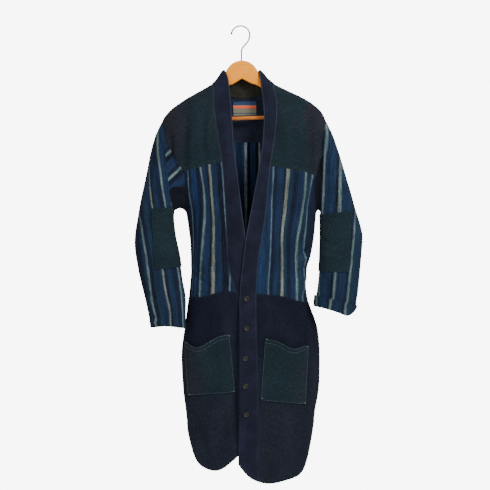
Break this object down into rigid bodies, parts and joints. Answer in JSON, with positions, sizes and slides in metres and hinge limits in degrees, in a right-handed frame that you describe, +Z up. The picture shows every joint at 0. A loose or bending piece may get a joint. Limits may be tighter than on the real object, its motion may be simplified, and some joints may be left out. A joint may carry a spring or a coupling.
{
  "type": "patchwork dogi coat on a wooden hanger",
  "caption": "Knee-length patchwork dogi coat, buttoned below a deep V neck, hanging on a wooden hanger by its wire hook.",
  "frame": {"origin": "where the hanger hangs, the inside of the top of its hook", "axes": "+Z up, -Y the coat's front, +X the wearer's left"},
  "size_m": [0.6062, 0.1185, 1.2101],
  "materials": {
    "navy_sashiko": "stitched dobby cotton, matt, with pale stitch dots",
    "navy_cotton": "washed cotton, matt, with fine pale stitches",
    "striped_cotton": "indigo cotton with blue, teal and pale yarn stripes, matt",
    "green_tweed": "dark green and plum tweed, matt",
    "label_cloth": "plain woven label, satin",
    "dark_horn": "dark horn-like resin, satin",
    "honey_wood": "clear varnish over pale wood",
    "orange_wood": "stained and varnished",
    "steel_wire": "dull bright wire"
  },
  "bodies": {
    "root": {"skirt_front_left": "navy_sashiko", "skirt_front_right": "navy_sashiko", "skirt_back": "navy_sashiko", "neck_band_left": "navy_cotton", "neck_band_right": "navy_cotton", "neck_band_back": "navy_cotton", "yoke_back": "navy_cotton", "gusset_left": "navy_cotton", "gusset_right": "navy_cotton", "front_left": "striped_cotton", "front_right": "striped_cotton", "back": "striped_cotton", "sleeve_left": "striped_cotton", "sleeve_right": "striped_cotton", "turned_cuff_left": "striped_cotton", "underarm_front_right": "striped_cotton", "underarm_back_right": "striped_cotton", "yoke_front_left": "green_tweed", "yoke_front_right": "green_tweed", "pocket_left": "green_tweed", "pocket_right": "green_tweed", "elbow_patch_left": "green_tweed", "elbow_patch_right": "green_tweed", "label": "label_cloth", "button_1": "dark_horn", "button_2": "dark_horn", "button_3": "dark_horn", "button_4": "dark_horn", "button_5": "dark_horn", "hanger_body": "honey_wood", "hanger_bar": "orange_wood", "hanger_hook": "steel_wire"}
  },
  "joints": []
}
